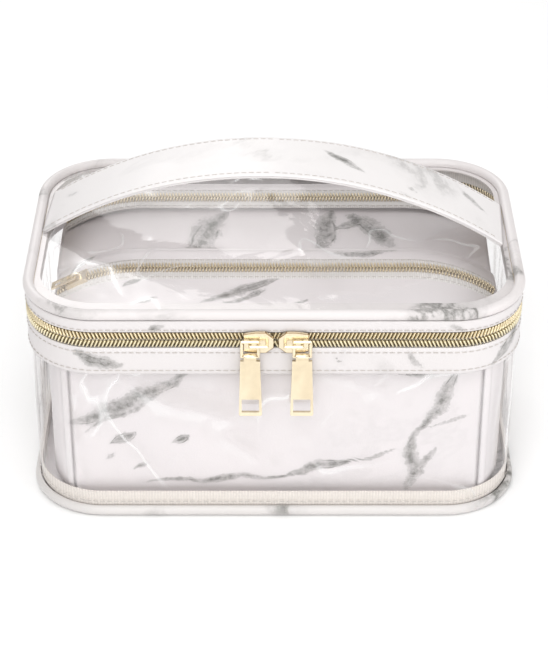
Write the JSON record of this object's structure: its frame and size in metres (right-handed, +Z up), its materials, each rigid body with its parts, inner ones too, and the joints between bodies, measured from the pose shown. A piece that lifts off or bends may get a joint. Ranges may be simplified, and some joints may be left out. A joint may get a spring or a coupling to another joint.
{
  "type": "makeup train case",
  "caption": "Clear-walled makeup train case with marble-print trim, zipped hinged lid, arched strap handle and two zipped pouches inside.",
  "frame": {"origin": "middle of the base's underside", "axes": "+Z up, -Y the front with the two zip pulls, +X the right-hand end"},
  "size_m": [0.2412, 0.1604, 0.1531],
  "materials": {
    "marbled_pu": "satin, grained, with soft grey veins",
    "stuffed_pouch": "satin, grained, with soft grey veins",
    "clear_vinyl": "clear and glossy",
    "woven_tape": "woven",
    "stiffener": "plain board",
    "gold_metal": "polished, pale gold"
  },
  "bodies": {
    "case": {"base_panel": "marbled_pu", "base_board": "stiffener", "base_lining": "marbled_pu", "base_welt": "marbled_pu", "seam_tape": "woven_tape", "clear_wall": "clear_vinyl", "upper_band": "marbled_pu", "lower_zip_tape": "woven_tape", "lower_zip_chain": "gold_metal", "zip_stop_left": "gold_metal", "zip_stop_right": "gold_metal", "hinge_strip": "marbled_pu", "front_pouch_body": "stuffed_pouch", "front_pouch_chain": "gold_metal", "rear_pouch_body": "stuffed_pouch", "rear_pouch_chain": "gold_metal"},
    "lid": {"lid_window": "clear_vinyl", "lid_border": "marbled_pu", "lid_welt": "marbled_pu", "lid_band": "marbled_pu", "upper_zip_tape": "woven_tape", "upper_zip_chain": "gold_metal", "hinge_flap": "marbled_pu", "handle_end_left": "marbled_pu", "handle_end_right": "marbled_pu"},
    "handle": {"handle_strap": "marbled_pu", "handle_lining": "marbled_pu"},
    "slider_left": {"slider_left_body": "gold_metal", "slider_left_crown": "gold_metal"},
    "link_left": {"pull_link_left": "gold_metal"},
    "tab_left": {"pull_tab_left": "gold_metal"},
    "slider_right": {"slider_right_body": "gold_metal", "slider_right_crown": "gold_metal"},
    "link_right": {"pull_link_right": "gold_metal"},
    "tab_right": {"pull_tab_right": "gold_metal"},
    "front_slider": {"front_pouch_slider": "gold_metal"},
    "front_pull": {"front_pouch_pull": "gold_metal"},
    "rear_slider": {"rear_pouch_slider": "gold_metal"},
    "rear_pull": {"rear_pouch_pull": "gold_metal"}
  },
  "joints": [
    {"name": "lid_hinge", "type": "hinge", "parent": "case", "child": "lid", "pos_m": [0, 0.0774, 0.1031], "axis": [-1, 0, 0], "range_deg": [0, 180]},
    {"name": "handle_sway", "type": "hinge", "parent": "lid", "child": "handle", "pos_m": [0, 0.0155, 0.1173], "axis": [0.9983, -0.0576, 0], "range_deg": [-20, 20], "stiffness_Nm_per_rad": 0.05},
    {"name": "slider_left_travel", "type": "slide", "parent": "case", "child": "slider_left", "axis": [-1, 0, 0], "range_m": [0, 0.066]},
    {"name": "link_left_swing", "type": "hinge", "parent": "slider_left", "child": "link_left", "pos_m": [-0.0112, -0.0802, 0.1031], "axis": [0, 1, 0], "range_deg": [-8, 30]},
    {"name": "tab_left_lift", "type": "hinge", "parent": "link_left", "child": "tab_left", "pos_m": [-0.0112, -0.0802, 0.0967], "axis": [-1, 0, 0], "range_deg": [-4, 120]},
    {"name": "slider_right_travel", "type": "slide", "parent": "case", "child": "slider_right", "axis": [1, 0, 0], "range_m": [0, 0.066]},
    {"name": "link_right_swing", "type": "hinge", "parent": "slider_right", "child": "link_right", "pos_m": [0.0132, -0.0802, 0.1031], "axis": [0, 1, 0], "range_deg": [-30, 8]},
    {"name": "tab_right_lift", "type": "hinge", "parent": "link_right", "child": "tab_right", "pos_m": [0.0132, -0.0802, 0.0967], "axis": [-1, 0, 0], "range_deg": [-4, 120]},
    {"name": "front_slider_travel", "type": "hinge", "parent": "case", "child": "front_slider", "pos_m": [-0.064, -0.018, 0.037], "axis": [0, 1, 0], "range_deg": [-4, 27]},
    {"name": "front_pull_lift", "type": "hinge", "parent": "front_slider", "child": "front_pull", "pos_m": [-0.09764, -0.018, 0.10302], "axis": [0, 1, 0], "range_deg": [0, 65]},
    {"name": "rear_slider_travel", "type": "hinge", "parent": "case", "child": "rear_slider", "pos_m": [0.066, 0.05, 0.0385], "axis": [0, -1, 0], "range_deg": [0, 27]},
    {"name": "rear_pull_lift", "type": "hinge", "parent": "rear_slider", "child": "rear_pull", "pos_m": [0.09964, 0.05, 0.10452], "axis": [0, -1, 0], "range_deg": [0, 65]}
  ]
}
